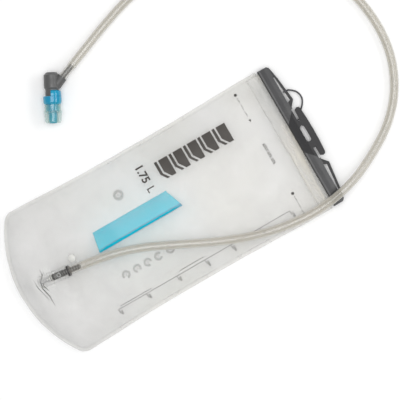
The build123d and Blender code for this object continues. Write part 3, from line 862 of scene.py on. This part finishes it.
def cut_up(mesh, step):
    """Cuts a flat shape along a square grid, so that it can follow the film."""
    xs, ys = [v.co.x for v in mesh.verts], [v.co.y for v in mesh.verts]
    for axis, low, high in ((0, min(xs), max(xs)), (1, min(ys), max(ys))):
        for place in np.arange(low + step, high, step):
            at, across = [0.0, 0.0, 0.0], [0.0, 0.0, 0.0]
            at[axis], across[axis] = place, 1.0
            parts = mesh.verts[:] + mesh.edges[:] + mesh.faces[:]
            bmesh.ops.bisect_plane(mesh, geom=parts, plane_co=at, plane_no=across)


class Print:
    """Printed shapes that become one thin piece of ink on a film."""

    def __init__(self):
        self.mesh = bmesh.new()

    def shape(self, *outline):
        """A flat shape, given by its corners in plan."""
        part = bmesh.new()
        part.faces.new([part.verts.new((x, y, 0)) for x, y in outline])
        cut_up(part, INK_STEP)
        self.take(part)

    def bar(self, x0, y0, x1, y1):
        """A rectangle between two opposite corners."""
        self.shape((x0, y0), (x1, y0), (x1, y1), (x0, y1))

    def dot(self, x, y, radius):
        """A round spot."""
        turns = np.linspace(0, 2 * pi, 19)[:-1]
        self.shape(*[(x + radius * cos(a), y + radius * sin(a)) for a in turns])

    def text(self, words, size, x, y, weight):
        """Characters of a height and stroke weight, starting at a place."""
        curve = bpy.data.curves.new("letters", "FONT")
        curve.body = words
        curve.size = size
        curve.offset = size * weight
        curve.resolution_u = 3
        holder = bpy.data.objects.new("letters", curve)
        bpy.context.scene.collection.objects.link(holder)
        flat = bpy.data.meshes.new_from_object(holder)
        bpy.data.objects.remove(holder)
        flat.transform(Matrix.Translation((x, y, 0)))
        part = bmesh.new()
        part.from_mesh(flat)
        self.take(part)

    def take(self, part):
        """Adds a part to the print."""
        bmesh.ops.triangulate(part, faces=part.faces)
        bmesh.ops.recalc_face_normals(part, faces=part.faces)
        if part.faces and part.faces[0].normal.z < 0:
            bmesh.ops.reverse_faces(part, faces=part.faces)
        flat = bpy.data.meshes.new("flat")
        part.to_mesh(flat)
        part.free()
        self.mesh.from_mesh(flat)

    def finish(self, name, material=INK, rear=False):
        """Lays the print on the upper film, or inside the lower one."""
        for vert in self.mesh.verts:
            lift = UP * (REAR_INK_LIFT if rear else INK_GAP)
            vert.co = (film_point(vert.co.x, vert.co.y, not rear) + lift) * MM
        data = bpy.data.meshes.new(name)
        self.mesh.to_mesh(data)
        self.mesh.free()
        piece = link_mesh(name, data, material, smooth=False)
        thicken(piece, INK_THICKNESS, 1.0)
        settle(piece, "bladder", "clear_film")


SCALE_X = 64.6
TICKS = {
    "250": -102.0,
    "500": -66.5,
    "750": -28.0,
    "1000": 7.4,
    "1250": 40.4,
    "1500": 77.0,
    "1750": 115.0,
}
scale = Print()
scale.bar(SCALE_X + 0.1, -102.2, SCALE_X + 0.5, 115.2)
for words, y in TICKS.items():
    scale.bar(SCALE_X + 0.5, y - 0.25, SCALE_X + 5.5, y + 0.25)
    scale.text(words, 3.4, SCALE_X + 2.2, y + 1.0, weight=0.01)
for y, length, x in ((-98.0, 38.0, 62.6), (-22.0, 30.0, 61.4)):
    for start in np.arange(0.0, length, 3.1):
        scale.bar(x - 0.5, y + start, x + 0.3, y + start + 1.7)
scale.finish("print_scale", PALE_INK)

GRAPHIC_START = 12.0
GRAPHIC_PITCH = 18.2
CHEVRON = ((-55, 0), (-40, 0), (-33, 5), (-33, 8.2), (-40, 3.2), (-55, 3.2))
BLOCK = ((-55, 5.2), (-41, 5.2), (-33, 10.6), (-33, 16.2), (-55, 16.2))
graphic = Print()
for k in range(5):
    low = GRAPHIC_START + GRAPHIC_PITCH * k
    for outline in (CHEVRON, BLOCK):
        graphic.shape(*[(x, low + y) for x, y in outline])
graphic.finish("print_graphic")

CAPACITY_SIZE = 12.6
CAPACITY_Y = -8.8
capacity = Print()
capacity.text("1.75", CAPACITY_SIZE, -61.8, CAPACITY_Y, weight=0.028)
capacity.text("L", CAPACITY_SIZE, -34.8, CAPACITY_Y, weight=0.005)
capacity.finish("print_capacity")

labels = Print()
for x, y, length in ((-75.0, 127.0, 25.0), (50.0, 127.5, 21.0)):
    labels.dot(x, y, 1.7)
    for k, start in enumerate(np.arange(0.0, length, 1.7)):
        if k % 5 != 4:
            labels.bar(x + 4.0 + start, y - 0.6, x + 4.7 + start, y + 0.5 + 0.5 * sin(3.7 * k))
labels.shape((-44.0, 125.6), (-41.0, 127.0), (-44.0, 128.4))
for word, count in ((-13.0, 4), (-2.6, 3), (5.6, 3)):
    for k in range(count):
        left = word + 2.3 * k
        labels.bar(left, 125.3, left + 0.9, 128.6)
        labels.bar(left + 0.9, 125.3 + 2.4 * (k % 2), left + 1.6, 126.2 + 2.4 * (k % 2))
labels.finish("print_labels", PALE_INK)


def band(marks, x, y, inner, outer, start=0.0, sweep=360.0):
    """Adds a ring, or a part of one, to a print."""
    turns = [radians(start + sweep * k / 14) for k in range(15)]
    for a, b in zip(turns, turns[1:]):
        corners = ((inner, a), (outer, a), (outer, b), (inner, b))
        marks.shape(*[(x + r * cos(t), y + r * sin(t)) for r, t in corners])


# faint printing on the far film, seen through the bag: a ring and a row of plain round symbols
RING_X, RING_Y = -44.5, -39.7
SYMBOL_X = 36.0
symbols = Print()
for inner, outer in ((2.2, 6.4), (3.0, 5.4), (0.3, 1.6)):
    band(symbols, RING_X, RING_Y, inner, outer)
for k, y in enumerate((-76.0, -62.0, -48.5, -35.0, -20.0)):
    for inner, outer in ((2.0, 5.2), (2.8, 4.4)):
        band(symbols, SYMBOL_X, y, inner, outer, 40.0 * k, 300.0)
    symbols.bar(SYMBOL_X - 1.6, y - 0.8, SYMBOL_X + 1.6, y + 0.8)
symbols.finish("print_rear", REAR_INK, rear=True)


# ---------------------------------------------------------------- folds near the port, painted dark as their shadows, and a painted highlight
PLEAT_STEPS = 40


def pleat(name, points, height, half):
    """A sharp little fold in the upper film, through places in plan, tapering out at its ends,
    painted dark as the shadow of the fold.
    """
    rows = []
    for k in range(PLEAT_STEPS + 1):
        t = k / PLEAT_STEPS * (len(points) - 1)
        i = min(int(t), len(points) - 2)
        x = points[i][0] + (points[i + 1][0] - points[i][0]) * (t - i)
        y = points[i][1] + (points[i + 1][1] - points[i][1]) * (t - i)
        size = sin(pi * (0.06 + 0.88 * k / PLEAT_STEPS))
        y += 0.25 * noise.noise(Vector((x / 2.0, 0.0, height)))
        crest = film_point(x, y).z + height * size
        foot = [film_point(x, y + side * half * size).z - 0.15 for side in (-1, 1)]
        rows.append([
            Vector((x, y - half * size, foot[0])),
            Vector((x, y - 0.12, crest)),
            Vector((x, y + 0.12, crest)),
            Vector((x, y + half * size, foot[1])),
        ])
    settle(grid_piece(name, rows, PLEAT_SHADOW, around=True), "bladder", "clear_film")


# height, half width and places of each pleat
PLEATS = {
    "pleat_a": (
        1.3, 0.62,
        (-17, -155.4), (-9, -156.0), (-5, -160.8), (3, -162.6), (14, -160.2), (26, -160.0),
    ),
    "pleat_b": (1.1, 0.55, (-4, -158.4), (2, -160.4), (6, -158.6), (9.4, -157.6)),
    "pleat_c": (0.8, 0.34, (-9, -166.4), (-2, -167.0), (8, -165.0), (17, -162.6)),
    "pleat_d": (0.7, 0.3, (-13, -152.2), (-8, -158.2), (-7.4, -163.4)),
}
for name, (height, half, *points) in PLEATS.items():
    pleat(name, points, height, half)


# place and profile of the painted highlight beside the port's mouth
HIGHLIGHT_X, HIGHLIGHT_Y = -9.6, -118.2
HIGHLIGHT_PROFILE = ((4.6, -0.1), (4.4, 0.35), (3.6, 0.62), (2.2, 0.78), (0.4, 0.84))


def make_painted_highlight():
    """A small oval swelling beside the port's mouth, near-opaque white: a painted highlight that
    stands for a reflection on the film.
    """
    rows = []
    for r, h in HIGHLIGHT_PROFILE:
        ring = []
        for a in np.linspace(0, 2 * pi, 33)[:-1]:
            x, y = HIGHLIGHT_X + r * 0.96 * cos(a), HIGHLIGHT_Y + r * 0.88 * sin(a)
            ring.append(film_point(x, y) + UP * h)
        rows.append(ring)
    settle(grid_piece("painted_highlight_spot", rows, HIGHLIGHT_FILM, around=True), "bladder", "clear_film")


make_painted_highlight()


# ---------------------------------------------------------------- floor and light
FLOOR_REACH = 6.0
FLOOR_Z = -0.0004
WORLD_STRENGTH = 0.54
LIGHT_AIM = (0, 0.05, 0)


def make_floor():
    """A plain pale floor, a hair under the bag."""
    signs = ((-1, -1), (1, -1), (1, 1), (-1, 1))
    corners = [(FLOOR_REACH * x, FLOOR_REACH * y, 0) for x, y in signs]
    mesh = bpy.data.meshes.new("studio_floor")
    mesh.from_pydata(corners, [], [(0, 1, 2, 3)])
    floor = Shader("studio_floor", (0.95, 0.95, 0.95), 0.7)
    floor.bump(floor.noise(40, 2), 0.0001, 0.1)
    piece = link_mesh("studio_floor", mesh, floor.material, smooth=False)
    piece.location.z = FLOOR_Z
    piece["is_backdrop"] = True


def softbox(name, place, size, power):
    """A rectangular soft light, aimed at the middle of the object."""
    light = bpy.data.lights.new(name, "AREA")
    light.shape = "RECTANGLE"
    light.size, light.size_y = size
    light.energy = power
    lamp = bpy.data.objects.new(name, light)
    lamp.location = place
    lamp.rotation_euler = (Vector(LIGHT_AIM) - Vector(place)).to_track_quat("-Z", "Y").to_euler()
    bpy.context.scene.collection.objects.link(lamp)


def make_world():
    """Even white studio surroundings."""
    world = bpy.data.worlds.new("studio")
    world.use_nodes = True
    background = world.node_tree.nodes["Background"]
    background.inputs["Color"].default_value = (1, 1, 1, 1)
    background.inputs["Strength"].default_value = WORLD_STRENGTH
    bpy.context.scene.world = world


make_floor()
make_world()
softbox("overhead_light", place=(0.0, 0.05, 3.4), size=(2.2, 2.2), power=58)
softbox("key_light", place=(0.35, 1.9, 1.7), size=(1.3, 0.6), power=12)
bpy.context.scene.view_settings.view_transform = "Standard"
bpy.context.scene.cycles.transparent_max_bounces = 32

low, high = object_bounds()
